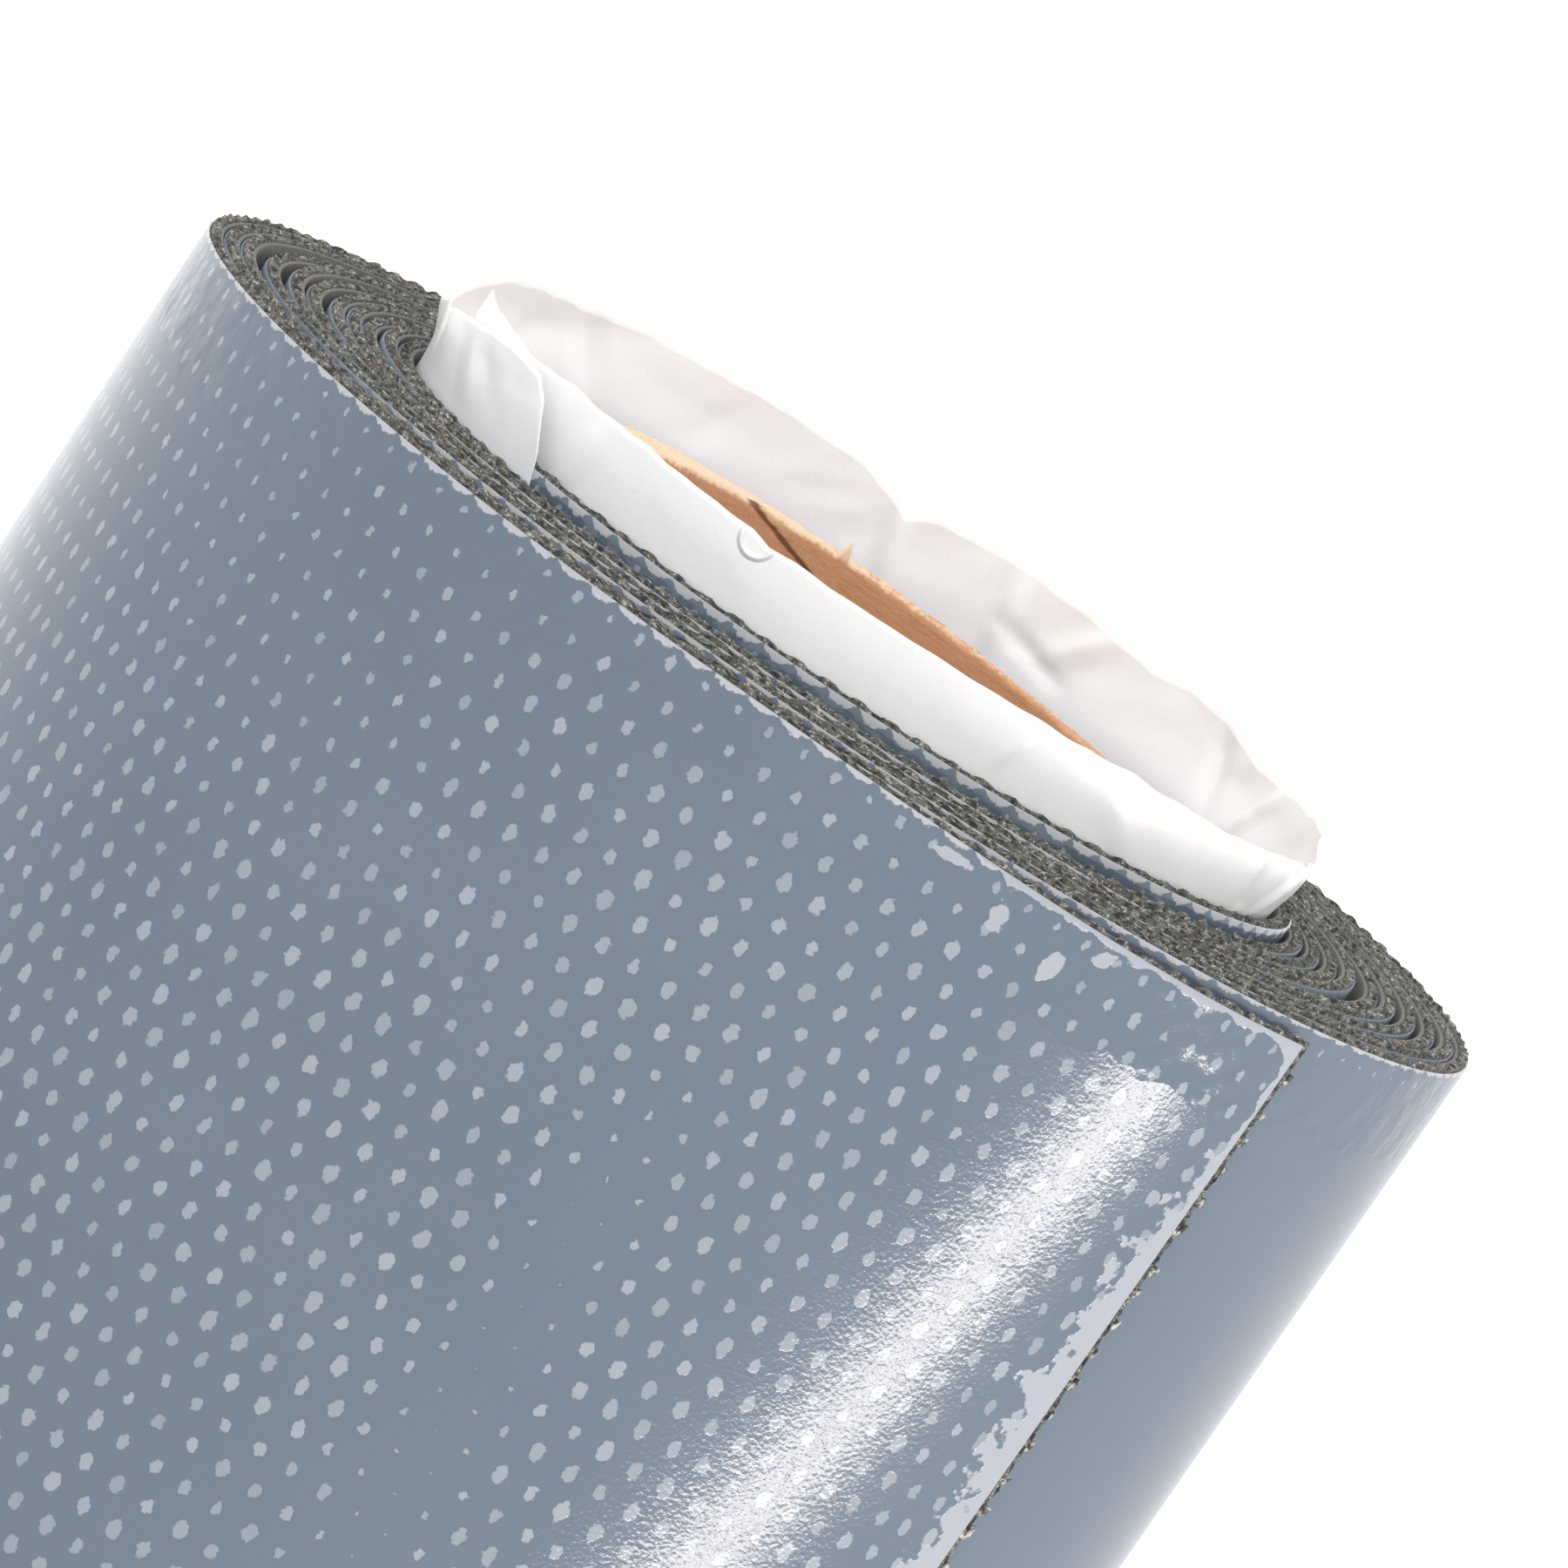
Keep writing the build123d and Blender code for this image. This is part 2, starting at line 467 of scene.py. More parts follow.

# %% [markdown]
# ## The weave and its coat
# The yarns are dark, dull and fuzzy. Their cut ends catch the light as small pale specks, and
# between them the pits are painted near-black, as painted shade. The coat on the inner face is a smooth,
# slightly lighter grey.

# %% Weave and coat materials
def weave_material():
    t = Tree("weave", 0.75, Specular_IOR_Level=0.35)
    uv = t.uv()
    fuzz = t.noise(uv, 0.3 * MM, 3, 0.7)
    clumps = t.noise(uv, 0.9 * MM, 3, 0.65)
    dark = t.mix(t.ramp(clumps, 0.36, 0.62), srgb(50, 50, 47), srgb(120, 118, 111))
    ends = t.math("MULTIPLY_ADD", t.attribute("pit"), -0.16, t.math("MULTIPLY_ADD", clumps, 0.5, fuzz))
    specks = t.ramp(ends, 0.82, 0.9)
    color = t.mix(specks, dark, srgb(200, 197, 186))
    # Painted shade: the pits between the yarn ends are darkened to near-black.
    painted_pit_shade = t.ramp(t.attribute("pit"), 0.22, 0.55)
    t.color(t.mix(t.math("MULTIPLY", painted_pit_shade, 0.9), color, srgb(24, 24, 22)))
    t.bump(fuzz, 0.25 * MM, 0.9)
    return t.material


def coat_material():
    t = Tree("backing_coat", 0.6, Specular_IOR_Level=0.4)
    uv = t.uv()
    mottle = t.noise(uv, 1.1 * MM, 4, 0.7)
    t.color(t.mix(mottle, srgb(70, 70, 67), srgb(112, 110, 105)))
    t.bump(mottle, 0.12 * MM, 0.6)
    return t.material


weave_look = weave_material()
coat_look = coat_material()
print("materials", weave_look.name, coat_look.name)

# %% [markdown]
# ## The coat layer
# It is the innermost layer of the sheet, a plain slab with softened upper corners. It stops at the
# tail's root, where the tail's own coat goes on. A row of points just above the bottom edge keeps
# the rounded shading of that edge from spreading up the long faces.

# %% Coat
tail_start = length_at(tail_root - math.radians(16))
foot_row = 1.5 * MM


def slab_section(inside, outside, top, corner, rows=(foot_row,)):
    """Section of a plain layer with its upper corners cut back."""
    section = [(0, outside)]
    section += [(row, outside) for row in rows]
    section += [(top - corner, outside), (top, outside - corner)]
    section += [(top, inside + corner), (top - corner, inside)]
    return section + [(foot_row, inside), (0, inside)]


def coat_layer(name, start, end):
    section = slab_section(0, coat, sheet_top, 0.1 * MM)
    piece = make_object(name, flat_layer(section, start, end, MM), coat_look)
    flat_uv(piece.data, coat)
    return piece


sheet_coat = coat_layer("sheet_coat", 0, tail_start)
wind(sheet_coat.data)
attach(sheet_coat, "roll")
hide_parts("backing_coat")
print("coat faces", len(sheet_coat.data.polygons))

# %% [markdown]
# ## The weave layer
# Its cut edge is a ladder: at every yarn pitch a stiff yarn end stands up, with a pit beside it.
# Yarns modelled one by one would take millions of faces. So the section has extra points across the
# cut edge, which a wave along the length lowers into pits and raises into yarn ends.

# %% Weave
pit_depth = 0.6 * MM
nub_height = 0.26 * MM
nub_fray = 0.12 * MM
weave_step = yarn_pitch / 6
across_weave = (0.0, 0.16, 0.38, 0.62, 0.86, 1.0)
pit_share = (0.0, 0.35, 1.0, 1.0, 0.45, 0.0)


def weave_section():
    """Up the outer face, over the cut edge, down the inner face and back under."""
    over = [(sheet_top, backing - weave * share) for share in across_weave]
    return [(0, backing), (foot_row, backing)] + over + [(0, coat), (0, coat + weave / 2)]


def weave_layer(name, start, end):
    piece = make_object(name, flat_layer(weave_section(), start, end, weave_step), weave_look)
    flat_uv(piece.data, backing)
    points = points_of(piece.data)
    pit = np.zeros(len(points))
    for i in np.flatnonzero(points[:, 1] > sheet_top - MM):
        length, height, depth = points[i]
        share = float(np.interp((backing - depth) / weave, across_weave, pit_share))
        wave = 0.5 - 0.5 * math.cos(TURN * length / yarn_pitch)
        uneven = 1 + 0.6 * noise.noise(Vector((length / yarn_pitch * 0.7, 0, 0)))
        fray = noise.noise(Vector((length / (0.8 * MM), depth / (0.5 * MM), 7)))
        wave = wave * wave * (3 - 2 * wave)
        pit[i] = share * wave
        points[i, 1] += nub_height * (1 - wave) * uneven
        points[i, 1] += nub_fray * fray - pit_depth * share * wave * uneven
        points[i, 0] += 0.2 * MM * noise.noise(Vector((length / MM, depth / MM, 5)))
    piece.data.vertices.foreach_set("co", points.ravel())
    add_attribute(piece.data, "pit", pit)
    return piece


sheet_weave = weave_layer("sheet_weave", 0, tail_start)
wind(sheet_weave.data)
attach(sheet_weave, "roll")
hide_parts("woven_ply")
print("weave faces", len(sheet_weave.data.polygons))

# %% [markdown]
# ## The film layer
# The film stops just short of the weave's cut edge. Its attributes are worked out from where each
# point lies on the roll. Hollows fade out on the lap below the free end, and in a band down the
# front where the film was pressed harder. The film has let go along the free edge, in a band at the
# corner and in a few patches. On inner laps the edge band shows only at the front.

# %% Film marks
# degrees from the free edge, then mm: below the cut edge, half width, half height
let_go_patches = (
    (28.0, 3.9, 1.3, 1.5),
    (22.5, 4.5, 1.1, 2.0),
    (19.5, 2.0, 1.3, 0.6),
    (33.0, 1.6, 2.2, 0.7),
)


def film_hollows(angle, from_end, below):
    """The share of their full size at which the hollows show on the two outer laps."""
    shown = smooth(math.radians(70), math.radians(120), angle - (outer_end - TURN))
    pressed = np.exp(-(((from_end - math.radians(40)) / math.radians(3.4)) ** 2))
    pressed *= smooth(22 * MM, 36 * MM, below)
    faint_x = (from_end - math.radians(86)) / math.radians(24)
    faint_y = (below - 14 * MM) / (13 * MM)
    faint = np.exp(-(faint_x**2 + faint_y**2))
    near_cut = 0.62 + 0.38 * smooth(MM, 9 * MM, below)
    first_row = 0.62 * np.exp(-(((below - 2.4 * MM) / MM) ** 2))
    return shown * (0.92 - 0.85 * pressed - 0.42 * faint) * near_cut + (1 - shown) * first_row


def film_edge(angle, from_end, inner):
    """How deep the pale band along the cut edge is, and how clearly it shows."""
    near_corner = np.exp(-from_end / math.radians(24))
    patchy = smooth(math.radians(8), math.radians(20), from_end)
    patchy *= 1 - smooth(math.radians(26), math.radians(34), from_end)
    edge_band = 0.58 + 0.2 * np.sin(angle * 3.1) + 0.2 * near_corner + 0.4 * patchy
    first_lap = angle < 1.2 * TURN
    front = smooth(0.55, 0.85, -np.sin(angle))
    edge_band = np.where(inner, 0.6 + 0.4 * first_lap, edge_band)
    return edge_band, np.where(inner & ~first_lap, 0.15 + 0.85 * front, 1.0)


def film_let_go(from_end, below):
    """Near 1 where the film has let go; the material adds blotches, for a ragged outline."""
    side = np.maximum(from_end * roll_radius, 0)
    side_width = (1.4 + 7.5 * smooth(4 * MM, 24 * MM, below)) * MM
    let_go = 0.8 * np.exp(-side / side_width)
    top_band = 1 - smooth(math.radians(27), math.radians(40), from_end)
    let_go += 0.84 * np.exp(-below / (1.5 * MM)) * top_band
    for turn, down, half_wide, half_high in let_go_patches:
        off_x = (from_end - math.radians(turn)) * roll_radius / (half_wide * MM)
        off_y = (below - down * MM) / (half_high * MM)
        let_go += 0.8 * np.exp(-(off_x**2 + off_y**2))
    return let_go


def film_marks(mesh, angle, height):
    """Writes the four attributes that the film's material reads."""
    from_end = outer_end - angle
    below = sheet_top - height
    inner = angle < outer_end - TURN - 0.1
    add_attribute(mesh, "hollows", np.where(inner, 0.5, film_hollows(angle, from_end, below)))
    edge_band, edge_seen = film_edge(angle, from_end, inner)
    add_attribute(mesh, "edge_band", edge_band)
    add_attribute(mesh, "edge_seen", edge_seen)
    add_attribute(mesh, "let_go", film_let_go(from_end, below))


# %% Film layer
near_rows = [foot_row, film_top / 2]
near_rows += [film_top - d * MM for d in (40, 25, 16, 12, 9, 7, 5.5, 4.2, 3.1, 2.2, 1.4, 0.7)]


def film_layer(name, start, end, step, depth=backing):
    section = slab_section(depth, depth + film, film_top, 0.06 * MM, near_rows)
    piece = make_object(name, flat_layer(section, start, end, step), face_film_look)
    flat_uv(piece.data, depth + film)
    return piece


sheet_film = film_layer("sheet_film", 0, tail_start, 1.2 * MM)
film_marks(sheet_film.data, *wind(sheet_film.data))
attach(sheet_film, "roll")
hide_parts("face_film")
print("film faces", len(sheet_film.data.polygons))

# %% [markdown]
# ## The tail
# The free end is the same three layers. Its pieces start before the hinge. The edge was cut a little out of
# square.

# %% Tail
edge_skew = 0.012
weave_beyond_film = 0.7 * MM
peel_root_length = sheet_length - 18 * MM


def bend_with_tail(piece, node):
    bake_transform(piece)
    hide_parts(node)


def tail_skew(mesh):
    """The cut leans, more and more towards the free edge."""
    points = points_of(mesh)
    share = (points[:, 0] - tail_start) / (sheet_length - tail_start)
    points[:, 0] -= edge_skew * share * (sheet_top - points[:, 1])
    mesh.vertices.foreach_set("co", points.ravel())


tail_coat = coat_layer("tail_coat", tail_start, sheet_length + weave_beyond_film)
tail_skew(tail_coat.data)
wind(tail_coat.data, tail_bottom)
bend_with_tail(tail_coat, "tail_backing_coat")
tail_weave = weave_layer("tail_weave", tail_start, sheet_length + weave_beyond_film)
tail_skew(tail_weave.data)
wind(tail_weave.data, tail_bottom)
bend_with_tail(tail_weave, "tail_woven_ply")
tail_film = film_layer("tail_film", tail_start, peel_root_length, 1.0 * MM)
tail_skew(tail_film.data)
film_marks(tail_film.data, *wind(tail_film.data, tail_bottom))
bend_with_tail(tail_film, "tail_face_film")
peel_strip = film_layer("peel_strip", peel_root_length, sheet_length, 0.5 * MM)
tail_skew(peel_strip.data)
film_marks(peel_strip.data, *wind(peel_strip.data, tail_bottom))
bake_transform(peel_strip)
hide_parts("peel_film")
print("tail made")

# %% [markdown]
# ## Yarn ends along the free edge
# The free edge was cut through the weave, and small stiff loops of yarn stand out from the cut,
# one at each row. Each is a small ring spun along a short arc, then turned and scaled a little.

# %% Yarn ends
def yarn_loop(bm, place, outward, size):
    """A small bent yarn end: a five-sided ring spun through less than half a turn."""
    ring = bmesh.ops.create_circle(bm, segments=5, radius=0.17 * MM * size)["verts"]
    bmesh.ops.translate(bm, verts=ring, vec=(0.5 * MM * size, 0, 0))
    edges = list({edge for vert in ring for edge in vert.link_edges})
    before = len(bm.verts) - len(ring)
    bmesh.ops.spin(bm, geom=ring + edges, axis=(0, 1, 0), cent=(0, 0, 0), angle=math.pi * 0.8, steps=3)
    bm.verts.ensure_lookup_table()
    new = bm.verts[before:]
    turn = Vector(outward).to_track_quat("X", "Z").to_matrix().to_4x4()
    bmesh.ops.transform(bm, verts=new, matrix=Matrix.Translation(place) @ turn)


bm = bmesh.new()
rows_down = int(sheet_top / row_pitch)
for row in range(1, rows_down):
    height = sheet_top - row * row_pitch
    wobble = noise.noise(Vector((row * 0.77, 3.1, 0)))
    end_length = sheet_length + weave_beyond_film - edge_skew * (sheet_top - height)
    angle = angle_at(end_length)
    radius = radius_at(angle) + coat + weave * (0.55 + 0.3 * wobble)
    place = point_at(angle, radius, height - corner_drop + wobble * MM)
    outward = (-math.sin(angle + 0.4 * wobble), math.cos(angle + 0.4 * wobble), 0.5 * wobble)
    yarn_loop(bm, place, outward, 1.45 + 0.8 * abs(wobble) + 0.25 * (row % 2))
close_ends(bm)
t = Tree("yarn_ends", 0.6)
lint = t.ramp(t.noise(t.place(), 0.6 * MM, 2), 0.4, 0.62)
t.color(t.mix(lint, srgb(60, 58, 54), srgb(186, 183, 175)))
t.bump(t.noise(t.place(), 0.25 * MM, 2), 0.05 * MM, 0.6)
yarn_ends = make_object("free_edge_yarns", bm, t.material)
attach(yarn_ends, "tail")
print("yarn ends", rows_down - 1)

# %% [markdown]
# ## The ragged cut
# The cut itself is ragged. A thin bead of cut fibres, thicker and thinner along its length, lies
# along the edge. It is a grid wrapped round a line, with each ring moved by noise.

# %% Cut edge
bead_steps = 1100
bead_sides = 6


def edge_bead():
    bm = bmesh.new()
    bmesh.ops.create_grid(bm, x_segments=bead_steps, y_segments=bead_sides, size=1)
    for vert in bm.verts:
        share = (vert.co.x + 1) / 2
        around = round((vert.co.y + 1) / 2 * bead_sides) % bead_sides / bead_sides * TURN
        top = sheet_top - corner_drop
        height = tail_bottom + 0.3 * MM + (top - tail_bottom - 0.3 * MM) * share
        rough = noise.noise(Vector((height / (0.9 * MM), around, 1)))
        sway = noise.noise(Vector((height / (2.2 * MM), 0, 9)))
        thick = (0.36 + 0.2 * rough) * MM
        length = sheet_length + weave_beyond_film - edge_skew * (sheet_top - height) + 0.3 * MM * sway
        angle = angle_at(length)
        radius = radius_at(angle) + backing * 0.62
        angle += thick * math.cos(around) / radius
        radius += 1.3 * thick * math.sin(around)
        vert.co = point_at(angle, radius, height)
    bmesh.ops.remove_doubles(bm, verts=bm.verts, dist=1e-7)
    close_ends(bm)
    t = Tree("cut_fibres", 0.85, Specular_IOR_Level=0.3)
    fibres = t.noise(t.place(), 0.5 * MM, 3, 0.7)
    t.color(t.mix(t.ramp(fibres, 0.45, 0.72), srgb(28, 28, 26), srgb(82, 80, 74)))
    t.bump(fibres, 0.2 * MM, 0.9)
    return make_object("cut_edge", bm, t.material)


cut_edge = edge_bead()
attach(cut_edge, "tail")
print("cut edge faces", len(cut_edge.data.polygons))

# %% [markdown]
# ## The collar
# The film goes on past the inner end of the weave and is wound first, so its edge stands above the
# roll as a crumpled white collar. It is one strip, a little over a turn long, which overlaps itself
# at the left and ends in a pointed flap. It is made as the sheet is: a flat grid whose upper edge
# follows a list of heights, wound on the same spiral, then creased. A crease is a straight ridge
# with a sharp crest, because thin film folds into flat facets and doesn't swell like cloth.

# %% Collar sizes
collar_start = math.radians(-173)
flap_end = math.radians(230)
collar_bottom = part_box("leader_collar")[0][2]
rim_angles = (-173, -150, -147, -136, -124, -108, -105.5, -103, -100, -92, -75, -54, -39, -21)
rim_angles += (0, 6, 13, 22.5)
rim_angles += (33, 43, 50, 56, 68, 79, 88.8, 92.6, 96, 99.6, 110, 121, 132.6, 145, 153.5, 162, 171.7, 178)
rim_angles += (183, 187, 189, 191, 195.5, 215.4, 222.5, 225.2, 228.4, 230)
rim_heights = (8.4, 7.9, 7.6, 8.1, 8.1, 7.9, 7.9, 7.4, 7.6, 7.6, 7.8, 7.9, 7.3, 7.2, 6.4, 7.0, 8.8, 8.6)
rim_heights += (8.2, 9.6, 9.8, 8.9, 9.6, 9.6, 8.6, 7.2, 8.3, 9.3, 9.6, 9.4, 9.2, 8.4, 8.6, 7.8, 6.2, 5.4)
rim_heights += (5.2, 5.6, 6.2, 5.6, 6.1, 7.8, 7.5, 6.0, 2.4, -0.4)



def collar_radius(angle):
    """The film's inner face: on the spiral, and just outside the weave's end at the flap."""
    spiral = eye_radius + lap_pitch * (angle - inner_end) / TURN + backing
    return spiral + 0.33 * MM * smooth(math.radians(214), math.radians(225), angle)


# %% Creases
# degrees round the roll, mm above the edge, lean from upright, half length, half width, rise in mm
creases = (
    (76, 5.5, 0.1, 5.0, 1.6, -0.9),
    (71, 3.4, 1.35, 4.2, 1.2, 0.8),
    (66, 6.0, -0.75, 4.5, 1.8, -0.6),
    (92.6, 5.0, 0.15, 4.0, 1.5, -0.8),
    (118, 6.0, -0.5, 4.0, 2.5, 0.35),
    (140, 5.0, 0.6, 4.5, 2.5, 0.4),
    (40, 6.0, 0.5, 4.5, 1.8, 0.5),
    (28, 5.0, -0.5, 4.0, 1.5, -0.6),
    (10, 5.5, 0.15, 5.0, 1.4, 0.8),
    (-4, 4.5, -0.3, 4.5, 1.6, -0.7),
    (-16, 4.0, 0.5, 4.5, 1.5, 0.5),
    (-24, 3.0, -0.35, 3.5, 1.2, -0.45),
    (-68, 5.6, 0.25, 2.6, 0.8, 0.3),
    (-52, 4.0, -0.9, 4.0, 2.2, 0.22),
    (-128, 4.5, 0.1, 4.5, 1.6, 0.3),
    (187, 6.4, 0.25, 3.0, 1.3, 0.8),
    (193, 5.6, -0.45, 3.0, 1.2, -0.5),
    (209, 4.0, -0.8, 4.5, 2.4, 0.3),
)


def crease_rise(angle, height):
    """Sum of the ridges at a point, with height above the sheet's edge."""
    rise = np.zeros_like(angle)
    for turn, level, lean, half_length, half_width, crest in creases:
        along_rim = (angle - math.radians(turn)) * eye_radius
        up = height - level * MM
        across = np.abs(along_rim * math.cos(lean) - up * math.sin(lean))
        along = np.abs(along_rim * math.sin(lean) + up * math.cos(lean))
        shape = np.clip(1 - across / (half_width * MM), 0, 1)
        rise += crest * MM * shape * np.clip(1.3 - along / (half_length * MM), 0, 1)
    return rise


# %% Facets
lattice = 61
facet_heights = np.random.default_rng(4).uniform(-1, 1, (lattice, lattice))


def facets(along, up, size):
    """Random heights on a lattice of triangles, joined by flat facets."""
    bent = 0.35 * np.sin(up / size * 1.7 + along / size * 0.6)
    u = along / size + 0.5 * up / size + bent
    v = 1.2 * up / size + 0.4 * np.sin(along / size * 0.9)
    i, j = np.floor(u).astype(int), np.floor(v).astype(int)
    fu, fv = u - i, v - j

    def at(a, b):
        return facet_heights[(i + a) % lattice, (j + b) % lattice]

    lower = at(0, 0) * (1 - fu - fv) + at(1, 0) * fu + at(0, 1) * fv
    upper = at(1, 1) * (fu + fv - 1) + at(1, 0) * (1 - fv) + at(0, 1) * (1 - fu)
    return np.where(fu + fv < 1, lower, upper)


# %% Collar shape
def collar_film():
    columns = 760
    levels = [-1.0, -0.3] + [0.05 * i for i in range(21)]
    bm = bmesh.new()
    bmesh.ops.create_grid(bm, x_segments=columns, y_segments=len(levels) - 1, size=1)
    for vert in bm.verts:
        share = (vert.co.x + 1) / 2
        level = levels[round((vert.co.y + 1) / 2 * (len(levels) - 1))]
        angle = collar_start + share * (flap_end - collar_start)
        rim = float(np.interp(math.degrees(angle), rim_angles, rim_heights)) * MM
        rim += 0.25 * MM * noise.noise(Vector((share * 90, 0, 2))) * float(smooth(0, 2 * MM, rim))
        foot = -2.5 * MM
        if level < 0:
            deep = collar_bottom - sheet_top if angle < inner_end - 0.05 else foot - 1.5 * MM
            height = foot + (deep - foot) * (0.12 if level > -0.5 else 1)
        else:
            height = foot + (rim - foot) * level
        vert.co = (angle, height, 0)
    return make_object("collar", bm, collar_look)


def shape_collar(mesh):
    angle, height, depth = points_of(mesh).T
    above = smooth(0, 6 * MM, height)
    along = angle * eye_radius
    handled = 0.3 + 0.7 * smooth(math.radians(-35), math.radians(20), angle)
    sides = np.cos(angle) ** 2
    radius = collar_radius(angle) + above * (0.15 + 0.75 * sides) * MM
    crumple = 0.42 * facets(along, height, 10 * MM) + 0.1 * facets(along, height, 4 * MM)
    radius += above * handled * crumple * MM
    radius += crease_rise(angle, height) * smooth(-0.5 * MM, 2.5 * MM, height)
    inner_turn = 1 - smooth(math.radians(-165), math.radians(-120), angle)
    radius -= 0.8 * MM * inner_turn * above
    shaped = np.stack((radius * np.cos(angle), radius * np.sin(angle), sheet_top + height), axis=1)
    mesh.vertices.foreach_set("co", shaped.ravel())
    mesh.update()


# %% Collar material
thumb_mark = point_at(math.radians(-104.3), 43.6 * MM, sheet_top + 7.5 * MM)


def collar_material():
    t = Tree("collar_film", 0.3, Specular_IOR_Level=0.6)
    place = t.place()
    drawn_up = t.add("ShaderNodeMapping", {"Vector": place, "Scale": (1, 1, 0.25)}).outputs[0]
    streaks = t.noise(drawn_up, 5 * MM, 3)
    cloudy = t.noise(place, 14 * MM, 3)
    white = t.mix(cloudy, srgb(246, 246, 247), srgb(251, 250, 249))
    white = t.mix(t.math("MULTIPLY", t.ramp(streaks, 0.5, 0.75), 0.35), white, srgb(254, 254, 254))
    height = t.add("ShaderNodeSeparateXYZ", {0: place}).outputs[2]
    # Painted shade: towards its foot, where the film goes down into the gap, the collar is tinted bluish
    # grey.
    foot = t.ramp(height, sheet_top + 2.6 * MM, sheet_top - 0.5 * MM)
    t.color(t.mix(t.math("MULTIPLY", foot, 0.4), white, srgb(214, 221, 230)))
    crumple = t.bump(t.math("ADD", t.noise(place, 2.2 * MM, 3), t.noise(place, 0.5 * MM, 2)), 0.03 * MM, 0.6)
    away = t.add("ShaderNodeVectorMath", {0: place, 1: thumb_mark}, operation="DISTANCE").outputs["Value"]
    off_crest = t.math("ABSOLUTE", t.math("SUBTRACT", away, 2.1 * MM))
    crest = t.math("SUBTRACT", 1.0, t.ramp(off_crest, 0.0, 0.3 * MM))
    low_side = t.ramp(height, thumb_mark[2] + 0.6 * MM, thumb_mark[2] - 0.6 * MM)
    t.bump(t.math("MULTIPLY", crest, low_side), 0.3 * MM, 0.8, crumple)
    return t.material


# %% Collar
collar_look = collar_material()
collar = collar_film()
shape_collar(collar.data)
thick = collar.modifiers.new("film thickness", "SOLIDIFY")
thick.thickness = 0.12 * MM
thick.offset = 0
bpy.context.view_layer.update()
solid_collar = bpy.data.meshes.new_from_object(collar.evaluated_get(bpy.context.evaluated_depsgraph_get()))
collar.modifiers.clear()
collar.data = solid_collar
for polygon in collar.data.polygons:
    polygon.use_smooth = True
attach(collar, "roll")
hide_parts("leader_collar")
print("collar faces", len(collar.data.polygons))

# %% [markdown]
# ## The core
# The core is brown board wound in six plies and cut with a blunt saw, so its end is frayed: fibres
# stand up, plies have torn to different heights, and one burr sticks out. The bore shows a ply's
# spiral seam. One thick tube would show no plies at its end, so each ply is its own ring, a grid
# closed on itself, and its end is roughened by noise that differs from ply to ply.

# %% Board material
seam_start = math.radians(123)
seam_slope = 0.36


def bore_seam(t, uv, fibres, brown):
    """The ply's seam, climbing round the bore, with a painted shadow along it and torn layers just above it.
    """
    split = t.add("ShaderNodeSeparateXYZ", {0: uv})
    rise = t.math("SUBTRACT", split.outputs[1], core_top)
    along = t.math("SUBTRACT", split.outputs[0], seam_start * core_bore)
    line = t.math("MULTIPLY_ADD", along, seam_slope, -0.2 * MM)
    off = t.math("SUBTRACT", rise, line)
    off = t.math("ADD", off, t.math("MULTIPLY", t.math("SUBTRACT", fibres, 0.5), 0.5 * MM))
    above = t.math("MULTIPLY", t.ramp(off, 0.1 * MM, 0.3 * MM), t.ramp(off, 1.7 * MM, 0.8 * MM))
    layered = t.math("MULTIPLY", above, t.ramp(t.noise(uv, 0.7 * MM, 3, 0.6), 0.42, 0.6))
    brown = t.mix(t.math("MULTIPLY", layered, 0.7), brown, srgb(205, 168, 132))
    # Painted shadow: the dark line along the seam stands in for the shadow under the ply's edge.
    dark = t.math("SUBTRACT", 1.0, t.ramp(t.math("ABSOLUTE", off), 0.1 * MM, 0.42 * MM))
    return t.mix(t.math("MULTIPLY", dark, 0.85), brown, srgb(92, 54, 34))


def board_material(number):
    t = Tree("board_ply_" + str(number), 0.85, Specular_IOR_Level=0.25)
    uv = t.uv()
    place = t.place()
    drawn_out = t.add("ShaderNodeMapping", {"Vector": uv, "Scale": (0.3, 1.6, 1)}).outputs[0]
    fibres = t.noise(drawn_out, 1.1 * MM, 4, 0.6)
    flecks = t.noise(uv, 0.5 * MM, 3, 0.6)
    height = t.add("ShaderNodeSeparateXYZ", {0: place}).outputs[2]
    brown = t.mix(fibres, srgb(190, 135, 96), srgb(218, 172, 134))
    brown = t.mix(t.math("MULTIPLY", t.ramp(flecks, 0.62, 0.72), 0.3), brown, srgb(156, 100, 68))
    torn = t.math("ADD", height, t.math("MULTIPLY", flecks, 1.4 * MM))
    torn = t.ramp(torn, core_top - 0.25 * MM, core_top + 0.3 * MM)
    brown = t.mix(t.math("MULTIPLY", torn, 0.9), brown, srgb(236, 212, 182))
    if number == 1:
        brown = bore_seam(t, uv, fibres, brown)
        # Painted shade: deeper in the bore the board is darkened.
        inside = t.ramp(height, core_top - 6 * MM, core_top - 30 * MM)
        brown = t.mix(t.math("MULTIPLY", inside, 0.35), brown, srgb(160, 108, 74))
    t.color(brown)
    t.bump(t.math("ADD", fibres, flecks), 0.12 * MM, 0.7)
    return t.material


# %% Core
burr_angle = math.radians(100)
torn_angle = math.radians(40)


